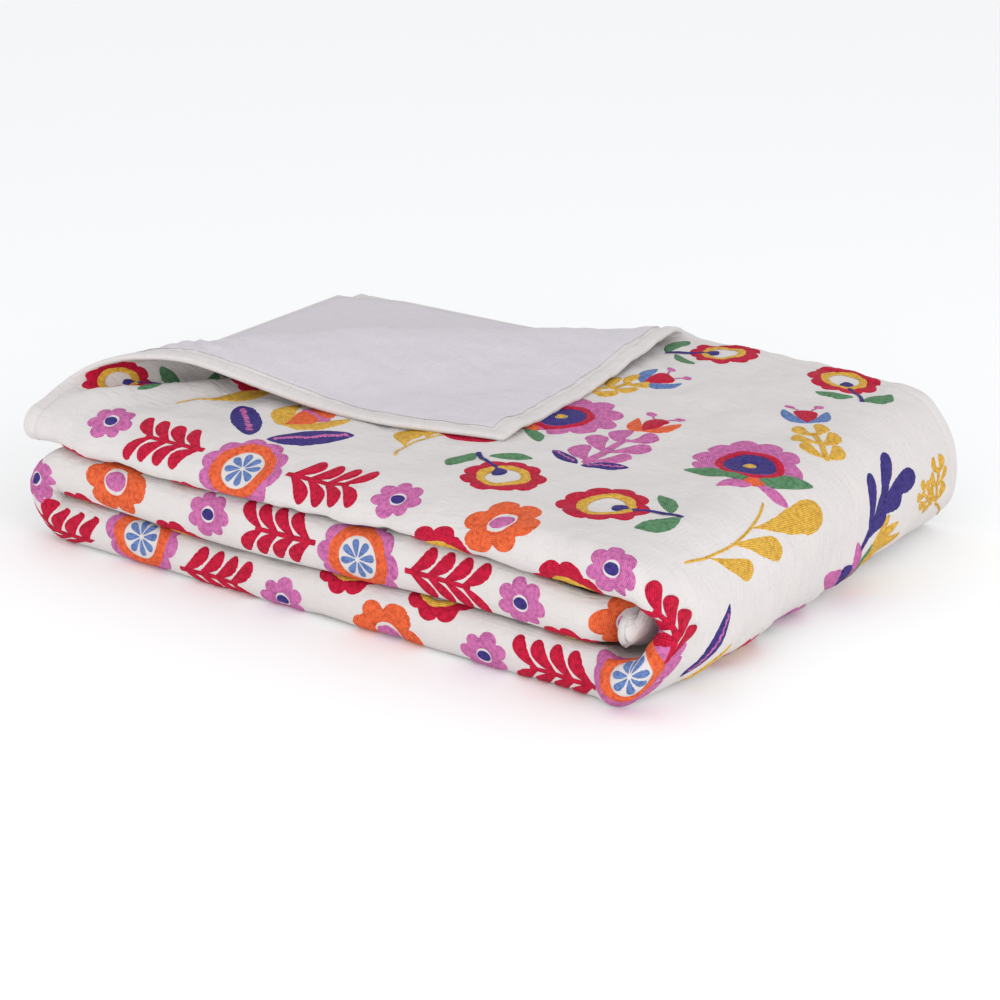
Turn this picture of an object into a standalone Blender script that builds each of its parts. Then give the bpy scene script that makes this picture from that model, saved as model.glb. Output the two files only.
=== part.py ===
"""Quilted bedspread, folded into a stack, with a corner of its top layer turned back.

Metres, +Z up. The stack stands on z = 0 around the origin, its long side along X, its front at -Y.

The cloth is cut flat, as a grid over the distance `along` its long side and the distance `across` it.
folded() then carries each point of the flat cloth to its place:
  1. across the cloth: in half and in half again, which makes a strip of four layers (STRIP);
  2. along the cloth: the strip in half and in half again, which makes four levels (WAY);
  3. the free corner of the topmost layer is rolled over, so that its lining lies upwards.
Solidify thickens the surfaces. The grey lining is built only where it shows.
"""
import math

import bmesh
import bpy
from mathutils import Vector

# ---- driving dimensions --------------------------------------------------------------------------
LENGTH, WIDTH = 0.62, 0.455     # the folded stack
CLOTH = 0.0052                  # face cloth, filling and lining together
LAYER_PITCH = 0.0072            # from one layer to the next in the strip
LEVEL_PITCH = 0.0298            # from one level to the next in the stack
LINING = 0.0010                 # the lining's own sheet, where it shows
SEWN_GAP = 0.0003               # between the lining and the padded cloth under it
HEM = 0.011                     # how far the lining stays inside the hem

FULL_UP, HALF_UP = 1.5*LAYER_PITCH, 0.5*LAYER_PITCH     # heights of the layers in the strip
STRIP_HALF = FULL_UP + CLOTH/2                          # half the thickness of the strip
FRONT, BACK = -WIDTH/2, WIDTH/2
LEFT = -LENGTH/2

PLAN_MIDDLE = Vector((-0.0029, -0.0072, 0.0))           # the origin is put under this point

LEVELS = ("bottom", "second", "third", "top")
THIRD_FRONT = 0.0765            # height of the third level's front edge where it meets the inner wrap
EAR = 0.013                     # how far the outer wrap's front edge stands out over the bottom level
INNER_EAR = 0.007               # and the inner wrap's front edge over the second level
FLOOR_ROUNDING = 0.022          # of the stack's front right corner, in plan


def ease(start, end, x):
    """0 up to start, 1 from end on, and a smooth step between them."""
    share = min(max((x - start)/(end - start), 0.0), 1.0)
    return share*share*(3.0 - 2.0*share)


def bump(x, middle, reach):
    """A smooth hump of height 1 at middle, faded out at the distance reach."""
    return 1.0 - ease(0.0, reach, abs(x - middle))


# ---- heights of the levels -----------------------------------------------------------------------
def level_height(level):
    """Middle height of a level behind the front rolls."""
    return STRIP_HALF + LEVELS.index(level)*LEVEL_PITCH


def front_roll(level, x):
    """Middle and half height of a level's front roll. The creases between rolls rise and sag."""
    lower = 0.0400 - 0.0055*bump(x, -0.10, 0.20) + 0.0015*bump(x, 0.14, 0.09)
    upper = 0.0815 - 0.0040*bump(x, -0.17, 0.13) + 0.0050*bump(x, 0.09, 0.12)
    crown = 0.1175 - 0.0020*bump(x, -0.06, 0.10) + 0.0015*bump(x, 0.12, 0.12)
    apart = 0.0013
    gaping = 0.0040*ease(0.19, 0.25, x)         # the second level's roll drops at its right end
    third = level_height("third")
    third += (THIRD_FRONT - third)*ease(INNER_TURN - 0.06, INNER_TURN, x)
    low, high = {"bottom": (0.0, lower - apart),
                 "second": (lower + apart, upper - apart - gaping),
                 "third": (third - STRIP_HALF, third + STRIP_HALF),
                 "top": (upper + apart, crown)}[level]
    return (low + high)/2, (high - low)/2


def rolled_here(x, depth):
    """1 in the front rolls, 0 behind them; they are shorter at the right end."""
    shorter = ease(0.10, 0.22, x)
    return 1.0 - ease(0.020 - 0.008*shorter, 0.088 - 0.038*shorter, depth)


def third_set_back(x, way_share):
    """How far the third level's front lies behind the others'; way_share is that of the inner wrap."""
    if way_share is not None:
        return 0.040*way_share
    return 0.088 - 0.048*ease(INNER_TURN - 0.12, INNER_TURN, x)


def puffed(level, x, depth):
    """How much the upper levels stand higher at the back, beside the turned corner."""
    share = {"top": 1.0, "third": 0.5}.get(level, 0.0)
    return share*0.0075*ease(0.20, 0.42, depth)*bump(x, 0.10, 0.24)


# ---- stretches that a path is made of: (length, function of the share that is done) --------------
def line(start, end):
    def point(share):
        return Vector(start) + (Vector(end) - Vector(start))*share
    return (Vector(end) - Vector(start)).length, point


def arc(centre, radius, first, last):
    """An arc between two angles in degrees."""
    def point(share):
        angle = math.radians(first + (last - first)*share)
        return Vector((centre[0] + radius*math.cos(angle), centre[1] + radius*math.sin(angle)))
    return math.radians(abs(last - first))*radius, point


def locate(distance, lengths):
    """Number of the stretch that a distance falls in, and the share of it that is done."""
    for number, length in enumerate(lengths[:-1]):
        if distance <= length + 1e-9:
            return number, distance/length
        distance -= length
    return len(lengths) - 1, distance/lengths[-1]


def even(steps):
    return [step/steps for step in range(steps + 1)]


# ---- across the cloth: the strip's section, as depth on Y and height in the strip ------------------
FRONT_TURN = FRONT + STRIP_HALF
INNER_FRONT = FRONT_TURN + 0.036
BACK_TURN = BACK - HALF_UP - CLOTH/2 - 0.001
TOP_HEM, SECOND_HEM = BACK - 0.002, BACK - 0.0225
STRIP = [line((TOP_HEM, FULL_UP), (FRONT_TURN, FULL_UP)),
         arc((FRONT_TURN, 0.0), FULL_UP, 90, 270),
         line((FRONT_TURN, -FULL_UP), (BACK_TURN, -FULL_UP)),
         arc((BACK_TURN, -LAYER_PITCH), HALF_UP, -90, 90),
         line((BACK_TURN, -HALF_UP), (INNER_FRONT, -HALF_UP)),
         arc((INNER_FRONT, 0.0), HALF_UP, 270, 90),
         line((INNER_FRONT, HALF_UP), (SECOND_HEM, HALF_UP))]
STRIP_LENGTHS = [length for length, _ in STRIP]
TOP_LAYER, SECOND_LAYER = 0, 6
FIRST_INNER = 4                 # from this stretch on, a layer is an inner one
# grid lines, close together where the cloth bends
TOP_LINES = [0.0, HEM/STRIP_LENGTHS[0], 0.12, 0.24, 0.36, 0.48, 0.60, 0.71, 0.80, 0.86, 0.91, 0.955, 1.0]
PLAIN_LINES = [0.0, 0.06, 0.13, 0.30, 1.0]
SECOND_LINES = [0.0, 0.06, 0.14, 0.30, 0.45, 0.60, 0.73, 0.86, 1.0 - HEM/STRIP_LENGTHS[6], 1.0]
STRIP_LINES = [TOP_LINES, even(7), PLAIN_LINES, even(3),
               [1.0 - share for share in reversed(PLAIN_LINES)], even(3), SECOND_LINES]

# ---- along the cloth: the middle of the strip, as X and height -----------------------------------
TURN_REACH = 1.5*LEVEL_PITCH                    # of the outer wrap, which joins top and bottom
RIGHT_TURN = LENGTH/2 - TURN_REACH - STRIP_HALF
SAG_RADIUS = 0.0310                             # the outer wrap sags on to the floor
SAG = RIGHT_TURN + TURN_REACH - SAG_RADIUS
INNER_TURN = RIGHT_TURN + 0.002                 # the inner wrap, which joins second and third
LEFT_TURN = LEFT + LEVEL_PITCH/2 + STRIP_HALF + 0.003
HIDDEN_END = LEFT + 0.012                       # the free end under the topmost level
BOTTOM_AT, SECOND_AT, THIRD_AT, TOP_AT = (level_height(level) for level in LEVELS)
OUTER = ("top", "bottom")
INNER = ("second", "third")
LEFT_ENDS = ("bottom", "second")
TOP_RUN_LINES = [0.0, HEM/(RIGHT_TURN - LEFT)] + [0.08 + 0.92*share for share in even(11)]
# (levels that it lies in or joins, stretch, grid lines)
WAY = [(("top",), line((LEFT, TOP_AT), (RIGHT_TURN, TOP_AT)), TOP_RUN_LINES),
       (OUTER, arc((RIGHT_TURN, TOP_AT - TURN_REACH), TURN_REACH, 90, 0), even(6)),
       (OUTER, line((RIGHT_TURN + TURN_REACH, TOP_AT - TURN_REACH),
                    (RIGHT_TURN + TURN_REACH, BOTTOM_AT + SAG_RADIUS)), even(2)),
       (OUTER, arc((SAG, BOTTOM_AT + SAG_RADIUS), SAG_RADIUS, 0, -90), even(5)),
       (("bottom",), line((SAG, BOTTOM_AT), (LEFT_TURN, BOTTOM_AT)),
        [0.0, 0.015, 0.030, 0.06] + [0.06 + 0.94*share for share in even(7)[1:]]),
       (LEFT_ENDS, arc((LEFT_TURN, BOTTOM_AT + LEVEL_PITCH/2), LEVEL_PITCH/2, 270, 90), even(9)),
       (("second",), line((LEFT_TURN, SECOND_AT), (INNER_TURN, SECOND_AT)),
        [0.94*share for share in even(7)] + [0.965, 0.983, 1.0]),
       (INNER, arc((INNER_TURN, SECOND_AT + LEVEL_PITCH/2), LEVEL_PITCH/2, -90, 90),
        [0.0, 0.18, 0.26, 0.4, 0.55, 0.7, 0.85, 1.0]),
       (("third",), line((INNER_TURN, THIRD_AT), (HIDDEN_END, THIRD_AT)), even(3))]
WAY_LENGTHS = [stretch[0] for _, stretch, _ in WAY]
WAY_LINES = [lines for _, _, lines in WAY]
TOP_RUN, OUTER_WRAP, BOTTOM_RUN, INNER_WRAP = 0, (1, 2, 3), 4, 7    # numbers of parts of the way


def ear(part, x, way_share, done):
    """How far a wrap's front edge stands out over the end of the level it turns into or from."""
    if part == BOTTOM_RUN:
        return EAR*ease(-0.002, 0.006, x - RIGHT_TURN)
    if part == INNER_WRAP:
        return INNER_EAR*ease(0.18, 0.26, way_share)*(1.0 - ease(0.5, 0.9, way_share))
    return EAR*ease(0.35, 0.95, done) if part in OUTER_WRAP else 0.0


def floor_rounding(x, depth, height):
    """How far the front right corner is drawn in near the floor."""
    at_corner = ease(0.0, 0.060, x - RIGHT_TURN)*(1.0 - ease(0.0, 0.09, depth))
    return FLOOR_ROUNDING*at_corner*(1.0 - ease(0.0, 0.06, height))


# ---- the turned corner ---------------------------------------------------------------------------
FOLD_START = Vector((LEFT, FRONT + 0.0225))     # where the fold leaves the left end
FOLD_ANGLE = math.radians(51)
FOLD_ALONG = Vector((math.cos(FOLD_ANGLE), math.sin(FOLD_ANGLE)))
FOLD_OVER = Vector((-math.sin(FOLD_ANGLE), math.cos(FOLD_ANGLE)))
FOLD_WIDER = 1.9                # the roll is this much wider than it is high
FOLD_FLARE = 0.016              # how far the fold bends off to the right at its back end
COMES_DOWN = 0.20               # over this distance the turned cloth comes down on the stack
RESTING = CLOTH + 0.0012        # its height there, between the middles of the two cloths
CUTS = (0.0, 0.009, 0.018, 0.027, 0.036, 0.047, 0.060, 0.085)   # distances from the fold's start


def roll_radius(along):
    """Half height of the roll: it rises from the left end and comes down towards the back."""
    return 0.0095 + 0.0070*ease(-0.02, 0.13, along) - 0.0110*ease(0.22, 0.60, along)


def from_fold(x, y):
    """Distance along the fold, how far the fold has bent off there, and distance beyond it."""
    from_start = Vector((x, y)) - FOLD_START
    along = from_start.dot(FOLD_ALONG)
    bent = FOLD_FLARE*ease(0.30, 0.56, along)
    return along, bent, from_start.dot(FOLD_OVER) + bent


def turned_corner(x, y):
    """Place of a point of the top layer beyond the fold, and its height above the layer it lies on.

    The cloth follows half an ellipse, lies back over the stack and comes down on it."""
    along, bent, over = from_fold(x, y)
    radius = roll_radius(along)
    rolled = math.pi*radius*(1.0 + FOLD_WIDER)/2
    angle = math.pi*min(over/rolled, 1.0)
    beyond = max(over - rolled, 0.0)
    height = radius*(1.0 - math.cos(angle)) - (2.0*radius - RESTING)*ease(0.0, COMES_DOWN, beyond)
    out = FOLD_WIDER*radius*math.sin(angle) - beyond
    return FOLD_START + along*FOLD_ALONG + (out - bent)*FOLD_OVER, height


# ---- the mapping ---------------------------------------------------------------------------------
OUTER_EDGE, INNER_EDGE = -0.42, -0.52       # swell of the wraps' front edges: they are thin
INNER_SWELL = 0.35                          # the inner layers swell this much less than the outer ones
PRESSED = 0.04                              # share of its thickness that the strip loses in a tight turn


def in_strip(part, x, way_share, done, section_point, is_inner):
    """Heights of the levels here, the place on Y, and the height in the strip.

    `done` is the share of a turn's height from the first level to the last."""
    levels = WAY[part][0]
    depth = section_point.x - FRONT
    rolled = rolled_here(x, depth)
    rolls = [front_roll(level, x) for level in levels]
    flat = [level_height(level) + puffed(level, x, depth) for level in levels]
    heights = [height + (roll[0] - height)*rolled for height, roll in zip(flat, rolls)]
    swells = [(roll[1] - CLOTH/2)/FULL_UP - 1.0 for roll in rolls]
    swell = swells[0] + (swells[-1] - swells[0])*ease(0.0, 1.0, done)
    if levels == OUTER:         # the wraps' front edges are thinner than the rolls
        pinch = ease(0.0, 0.25, done)*(1.0 - ease(0.75, 1.0, done))
        swell += (OUTER_EDGE - swell)*pinch
    elif levels == LEFT_ENDS:
        swell *= 1.0 - 0.4*math.sin(math.pi*way_share)
    elif "second" in levels or "third" in levels:
        swell += (INNER_EDGE - swell)*ease(INNER_TURN - 0.018, INNER_TURN, x)
    set_back = third_set_back(x, way_share if levels == INNER else None) if "third" in levels else 0.0
    y = section_point.x + set_back*(1.0 - ease(0.0, 0.9*WIDTH, depth))
    y -= ear(part, x, way_share, done)*rolled
    up = section_point.y*(1.0 + swell*rolled*(INNER_SWELL if is_inner else 1.0))
    if levels in (INNER, LEFT_ENDS):        # the layers are pressed together in the tight turns
        up *= 1.0 - PRESSED*math.sin(math.pi*way_share)
    return heights, y, up


def folded(along, across):
    """World place of a point of the flat cloth."""
    part, way_share = locate(along, WAY_LENGTHS)
    layer, strip_share = locate(across, STRIP_LENGTHS)
    levels, (_, point), _ = WAY[part]
    section_point = STRIP[layer][1](strip_share)
    here = point(way_share)
    if part == TOP_RUN and layer == TOP_LAYER:
        if from_fold(here.x, section_point.x)[2] > 0.0:
            place, above = turned_corner(here.x, section_point.x)
            heights, y, up = in_strip(part, place.x, way_share, 0.0, Vector((place.y, FULL_UP)), False)
            return Vector((place.x, y, heights[0] + up + above))
    neat = [level_height(level) for level in levels]
    done = (here.y - neat[0])/(neat[-1] - neat[0]) if len(levels) == 2 else 0.0
    heights, y, up = in_strip(part, here.x, way_share, done, section_point, layer >= FIRST_INNER)
    stretched = (heights[-1] - heights[0])/(neat[-1] - neat[0]) if len(levels) == 2 else 1.0
    ahead = point(way_share + 1e-4) - point(way_share - 1e-4)
    face_side = Vector((-ahead.y*stretched, ahead.x)).normalized()
    x = here.x + up*face_side.x
    height = heights[0] + (heights[-1] - heights[0])*done + up*face_side.y
    depth = section_point.x - FRONT
    x -= floor_rounding(x, depth, height)
    if levels == LEFT_ENDS:     # the left turn hangs over
        x -= 0.006*ease(0.0, 0.5, done)*(1.0 - ease(0.6, 1.0, done))
    if part == TOP_RUN and layer == SECOND_LAYER:       # its corner is rounded
        y -= 0.020*(1.0 - ease(0.0, 0.07, x - LEFT))*ease(0.25, 0.45, depth)
    return Vector((x, y, height))


# ---- the flat cloth ------------------------------------------------------------------------------
def grid_lines(lengths, shares):
    """Distances of all grid lines, with each joint between two stretches given once."""
    lines, start = [0.0], 0.0
    for length, stops in zip(lengths, shares):
        lines += [start + length*share for share in stops[1:]]
        start += length
    return lines


def flat_cloth():
    """The cut cloth as a grid over along and across, with cuts along which the corner bends."""
    along = grid_lines(WAY_LENGTHS, WAY_LINES)
    across = grid_lines(STRIP_LENGTHS, STRIP_LINES)
    cloth = bmesh.new()
    rows = [[cloth.verts.new((a, b, 0.0)) for b in across] for a in along]
    for row, next_row in zip(rows, rows[1:]):
        for corners in zip(row, row[1:], next_row[1:], next_row):
            cloth.faces.new(corners)
    for over in CUTS:
        corner = [face for face in cloth.faces
                  if face.calc_center_median().x < WAY_LENGTHS[TOP_RUN]
                  and face.calc_center_median().y < STRIP_LENGTHS[TOP_LAYER]]
        edges = {edge for face in corner for edge in face.edges}
        verts = {vert for face in corner for vert in face.verts}
        on_cut = FOLD_START + over*FOLD_OVER
        bmesh.ops.bisect_plane(cloth, geom=[*verts, *edges, *corner], dist=0.0015,
                               plane_co=(on_cut.x - LEFT, TOP_HEM - on_cut.y, 0.0),
                               plane_no=(FOLD_OVER.x, -FOLD_OVER.y, 0.0))
    bmesh.ops.triangulate(cloth, faces=cloth.faces[:])
    return cloth


def lining_turned_corner(along, across):
    """The turned corner, beyond the start of its fold and inside the hems."""
    inside = HEM - 1e-4 < along < WAY_LENGTHS[TOP_RUN] and HEM - 1e-4 < across < STRIP_LENGTHS[TOP_LAYER]
    return inside and from_fold(LEFT + along, TOP_HEM - across)[2] > 0.017


def lining_second_layer(along, across):
    """The second layer's corner, bared by the turned one."""
    from_hem = sum(STRIP_LENGTHS) - across
    inside = HEM - 1e-4 < along < WAY_LENGTHS[TOP_RUN] and HEM - 1e-4 < from_hem
    return (inside and from_hem < STRIP_LENGTHS[SECOND_LAYER]
            and from_fold(LEFT + along, SECOND_HEM - from_hem)[2] > -0.02)


# ---- objects -------------------------------------------------------------------------------------
def material(name, colour, roughness):
    made = bpy.data.materials.new(name)
    made.use_nodes = True
    shader = made.node_tree.nodes["Principled BSDF"]
    shader.inputs["Base Color"].default_value = (*colour, 1.0)
    shader.inputs["Roughness"].default_value = roughness
    shader.inputs["Metallic"].default_value = 0.0
    return made


def sheet(name, mesh, thickness, grows, finish):
    """A thickened surface, smooth shaded but for its rim.

    `grows` is 0 to thicken it to both sides and -1 to thicken it to the lining side."""
    thing = bpy.data.objects.new(name, mesh)
    bpy.context.scene.collection.objects.link(thing)
    mesh.materials.append(finish)
    mesh.shade_smooth()
    mesh.set_sharp_from_angle(angle=math.radians(50))
    solid = thing.modifiers.new("thickness", "SOLIDIFY")
    solid.thickness = thickness
    solid.offset = grows
    return thing


def lining_mesh(name, cloth, flat, shows):
    """The folded cloth's faces where the lining shows, moved out on to the cloth's lining side."""
    out = CLOTH/2 + SEWN_GAP
    patch, made = bmesh.new(), {}
    for face in cloth.faces:
        if not all(shows(*flat[vert.index]) for vert in face.verts):
            continue
        for vert in face.verts:
            if vert.index not in made:
                made[vert.index] = patch.verts.new(vert.co - out*vert.normal)
        patch.faces.new([made[vert.index] for vert in face.verts])
    mesh = bpy.data.meshes.new(name)
    patch.to_mesh(mesh)
    patch.free()
    return mesh


def build():
    cloth = flat_cloth()
    cloth.verts.index_update()
    flat = [(vert.co.x, vert.co.y) for vert in cloth.verts]
    for vert in cloth.verts:
        vert.co = folded(vert.co.x, vert.co.y) - PLAN_MIDDLE
    cloth.normal_update()
    grey = material("grey lining", (0.66, 0.63, 0.67), 0.9)
    for shows in (lining_turned_corner, lining_second_layer):
        sheet(shows.__name__, lining_mesh(shows.__name__, cloth, flat, shows), LINING, -1, grey)
    mesh = bpy.data.meshes.new("padded_cloth")
    cloth.to_mesh(mesh)
    cloth.free()
    sheet("padded_cloth", mesh, CLOTH, 0, material("embroidered face cloth", (0.78, 0.75, 0.71), 0.9))


for thing in list(bpy.context.scene.objects):
    bpy.data.objects.remove(thing)
build()
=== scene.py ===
# %% [markdown]
# # A folded, embroidered bedspread
# A quilted bedspread is one padded cloth: a cream cotton face, a thin filling and a grey cotton lining,
# quilted together and hemmed all round. This one is folded into a stack, and one corner of its top layer
# is turned back. We could model the folded stack from the outside, roll by roll, but cloth only looks
# like cloth when its layers really join. So everything here starts from the flat cloth and one function,
# `folded`, that carries each flat point to its place in the stack. The embroidery is drawn on the flat
# cloth too, and the folding takes it along.

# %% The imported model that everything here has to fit
import math

import bpy
import numpy as np
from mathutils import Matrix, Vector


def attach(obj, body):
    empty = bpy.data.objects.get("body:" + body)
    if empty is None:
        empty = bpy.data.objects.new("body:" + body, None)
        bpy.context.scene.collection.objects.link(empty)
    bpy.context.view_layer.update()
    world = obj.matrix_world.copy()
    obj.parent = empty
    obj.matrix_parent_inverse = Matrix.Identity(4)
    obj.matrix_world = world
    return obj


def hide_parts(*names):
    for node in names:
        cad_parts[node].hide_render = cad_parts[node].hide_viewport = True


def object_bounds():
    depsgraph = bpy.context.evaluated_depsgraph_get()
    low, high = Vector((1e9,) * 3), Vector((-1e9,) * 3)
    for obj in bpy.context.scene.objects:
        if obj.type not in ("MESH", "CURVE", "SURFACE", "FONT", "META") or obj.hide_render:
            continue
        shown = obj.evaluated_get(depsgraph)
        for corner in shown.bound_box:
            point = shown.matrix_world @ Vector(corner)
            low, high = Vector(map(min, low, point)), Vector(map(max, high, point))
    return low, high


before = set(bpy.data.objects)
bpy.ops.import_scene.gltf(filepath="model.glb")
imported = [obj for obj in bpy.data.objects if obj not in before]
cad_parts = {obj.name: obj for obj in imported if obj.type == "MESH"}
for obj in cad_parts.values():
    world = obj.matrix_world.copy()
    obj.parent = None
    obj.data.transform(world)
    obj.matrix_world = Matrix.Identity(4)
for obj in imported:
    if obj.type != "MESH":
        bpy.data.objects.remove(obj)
cad_box = [list(corner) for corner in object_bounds()]
print("CAD box:", [[round(value, 4) for value in corner] for corner in cad_box])

# %% [markdown]
# ## Camera, floor and light
# The stack lies on a plain pale floor and is seen from the front right, a little above. A long lens keeps
# the parallel edges nearly parallel. Big, soft lights stand low on both sides of the camera, so they model
# the rolls without hard shadows, and a pale sky lights the rest.

# %% Camera
CAMERA_AZIMUTH, CAMERA_ELEVATION = math.radians(35.2), math.radians(20.5)
CAMERA_DISTANCE = 2.152
LENS, SENSOR = 93.6, 36.0       # millimetres
LOOKS_AT = np.array((0.0029, 0.0072, 0.05))
backwards = np.array((math.sin(CAMERA_AZIMUTH)*math.cos(CAMERA_ELEVATION),
                      -math.cos(CAMERA_AZIMUTH)*math.cos(CAMERA_ELEVATION),
                      math.sin(CAMERA_ELEVATION)))
camera_data = bpy.data.cameras.new("camera")
camera_data.sensor_width, camera_data.lens = SENSOR, LENS
camera_data.shift_x, camera_data.shift_y = 0.006, -0.023
camera = bpy.data.objects.new("camera", camera_data)
camera.location = LOOKS_AT + CAMERA_DISTANCE*backwards
camera.rotation_euler = (math.pi/2 - CAMERA_ELEVATION, 0.0, CAMERA_AZIMUTH)
bpy.context.scene.collection.objects.link(camera)
bpy.context.scene.camera = camera
print(f"camera: {LENS} mm lens, {CAMERA_DISTANCE} m away")


# %% Lights and world
def soft_light(name, place, size, power):
    """An area light that faces the middle of the stack."""
    data = bpy.data.lights.new(name, "AREA")
    data.size, data.energy = size, power
    light = bpy.data.objects.new(name, data)
    x, y, z = place
    light.location = place
    light.rotation_euler = (math.atan2(math.hypot(x, y), z), 0.0, math.atan2(y, x) + math.pi/2)
    bpy.context.scene.collection.objects.link(light)


LIGHTS = {"key_light": ((0.4, -2.3, 0.5), 1.2, 9.0), "left_fill": ((-0.9, -1.5, 0.3), 0.5, 3.0),
          "low_fill": ((1.55, -1.26, 0.26), 0.6, 2.5), "right_fill": ((2.0, -0.6, 0.8), 1.4, 14.0)}
for name, (place, size, power) in LIGHTS.items():
    soft_light(name, place, size, power)
SKY, SKY_STRENGTH = (0.98, 0.99, 1.0, 1.0), 0.98
world = bpy.data.worlds.new("studio")
world.use_nodes = True
background = world.node_tree.nodes["Background"]
background.inputs["Color"].default_value = SKY
background.inputs["Strength"].default_value = SKY_STRENGTH
bpy.context.scene.world = world
bpy.context.scene.view_settings.view_transform = "Standard"
print("lights:", ", ".join(LIGHTS))

# %% [markdown]
# ## Shader maths
# A material is easier to read as a formula than as a drawing of nodes. `Wire` wraps one output socket,
# and each Python operator on it adds the Math node that does the same. `Finish` starts a material and
# adds any other node.


# %% A wire and a finish
class Wire:
    """One output socket. Sums, differences and products with it add Math nodes."""

    def __init__(self, finish, socket):
        self.finish, self.socket = finish, socket

    def maths(self, operation, *values):
        return self.finish.node("ShaderNodeMath", {"operation": operation}, dict(enumerate(values)))

    def __add__(self, other):
        return self.maths("ADD", self, other)

    def __sub__(self, other):
        return self.maths("SUBTRACT", self, other)

    def __rsub__(self, other):
        return self.maths("SUBTRACT", other, self)

    def __mul__(self, other):
        return self.maths("MULTIPLY", self, other)

    def sine(self):
        return self.maths("SINE", self)

    def power(self, exponent):
        return self.maths("POWER", self, exponent)

    def distance_from_zero(self):
        return self.maths("ABSOLUTE", self)

    def beside(self, name):
        """Another output of the same node."""
        return Wire(self.finish, self.socket.node.outputs[name])

    __radd__ = __add__
    __rmul__ = __mul__


class Finish:
    """A new material with its Principled BSDF, and one method that adds any node."""

    def __init__(self, name, **constants):
        self.material = bpy.data.materials.new(name)
        self.material.use_nodes = True
        self.tree = self.material.node_tree
        self.shader = self.tree.nodes["Principled BSDF"]
        for socket, value in constants.items():
            self.shader.inputs[socket.replace("_", " ")].default_value = value

    def node(self, kind, settings=None, sockets=None, output=0):
        """Add a node: its settings first, then the values or wires of its input sockets."""
        node = self.tree.nodes.new(kind)
        for name, value in (settings or {}).items():
            setattr(node, name, value)
        for name, value in (sockets or {}).items():
            if isinstance(value, Wire):
                self.tree.links.new(value.socket, node.inputs[name])
            else:
                node.inputs[name].default_value = value
        return Wire(self, node.outputs[output])

    def feed(self, socket, wire):
        self.tree.links.new(wire.socket, self.shader.inputs[socket])

    def noise(self, place, scale, detail=2.0, stretch=(1.0, 1.0, 1.0)):
        """Soft noise from 0 to 1, finer along the axes with a larger stretch."""
        turned = self.node("ShaderNodeMapping", None, {"Vector": place, "Scale": stretch})
        return self.node("ShaderNodeTexNoise", None, {"Vector": turned, "Scale": scale, "Detail": detail})

    def mix(self, factor, first, second):
        return self.node("ShaderNodeMix", {"data_type": "RGBA"}, {0: factor, 6: first, 7: second}, output=2)

    def bump(self, height, distance, normal=None):
        sockets = {"Height": height, "Distance": distance}
        if normal:
            sockets["Normal"] = normal
        return self.node("ShaderNodeBump", None, sockets)


# %% The floor
FLOOR_HALF = 6.0
floor_mesh = bpy.data.meshes.new("floor")
floor_corners = [(x*FLOOR_HALF, y*FLOOR_HALF, 0.0) for x, y in ((-1, -1), (1, -1), (1, 1), (-1, 1))]
floor_mesh.from_pydata(floor_corners, [], [(0, 1, 2, 3)])
floor = bpy.data.objects.new("floor", floor_mesh)
bpy.context.scene.collection.objects.link(floor)
floor_paint = Finish("pale floor", Base_Color=(0.93, 0.93, 0.93, 1.0), Roughness=0.9)
floor_mesh.materials.append(floor_paint.material)

# %% [markdown]
# ## The folds, first as numbers
# The cloth is folded in half and in half again across, which makes a strip of four layers, and the strip
# is folded in half and in half again along, which makes four levels. So one curve says how the layers run
# in the strip, and another how the strip runs in the stack. Both are made of straight lines and arcs.

# %% Driving sizes, the same as the model's
LENGTH, WIDTH = 0.62, 0.455
CLOTH = 0.0052                  # thickness of the padded cloth
LAYER_PITCH, LEVEL_PITCH = 0.0072, 0.0298
PLAN_MIDDLE = np.array((-0.0029, -0.0072, 0.0))
FULL_UP, HALF_UP = 1.5*LAYER_PITCH, 0.5*LAYER_PITCH
STRIP_HALF = FULL_UP + CLOTH/2
FRONT, BACK, LEFT = -WIDTH/2, WIDTH/2, -LENGTH/2
BOTTOM, SECOND, THIRD, TOP = range(4)                   # the levels, counted from the floor
LEVEL_HEIGHTS = STRIP_HALF + np.arange(4)*LEVEL_PITCH
print("level heights:", LEVEL_HEIGHTS.round(4))


# %% Smooth steps
def ease(start, end, x):
    """0 up to start, 1 from end on, and the cubic 3s^2 - 2s^3 of the share s between them."""
    share = np.clip((x - start)/(end - start), 0.0, 1.0)
    return share*share*(3.0 - 2.0*share)


def fade(start, end, x):
    """1 up to start and 0 from end on."""
    return 1.0 - ease(start, end, x)


def between(start, full, still_full, end, x):
    """0 up to start, 1 from full to still_full, and 0 again from end on."""
    return ease(start, full, x)*fade(still_full, end, x)


def bump(x, middle, reach):
    """A smooth hump of height 1 at middle, faded out at the distance reach."""
    return fade(0.0, reach, np.abs(x - middle))


def toward(start, end, share):
    """start + (end - start) times the share."""
    return start + (end - start)*share


print("halfway through a step:", ease(0.0, 1.0, 0.5))


# %% Lines and arcs, as (length, function of the share that is done)
def line(start, end):
    """A straight stretch."""
    start, end = np.array(start)[:, None], np.array(end)[:, None]
    return math.dist(start[:, 0], end[:, 0]), lambda share: toward(start, end, share)


def arc(start, radius, first, last):
    """Centre + radius times (cos, sin) of an angle that runs from first to last, in degrees."""
    centre = start - radius*np.array((math.cos(math.radians(first)), math.sin(math.radians(first))))

    def point(share):
        angle = np.radians(first + (last - first)*share)
        return centre[:, None] + radius*np.array((np.cos(angle), np.sin(angle)))
    return math.radians(abs(last - first))*radius, point


def path(start, *moves):
    """Stretches that follow on: (x, y) is the end of a line, and (radius, first, last) an arc."""
    here, stretches = np.array(start), []
    for move in moves:
        stretches.append(line(here, move) if len(move) == 2 else arc(here, *move))
        here = stretches[-1][1](np.ones(1))[:, 0]
    return stretches


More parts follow.
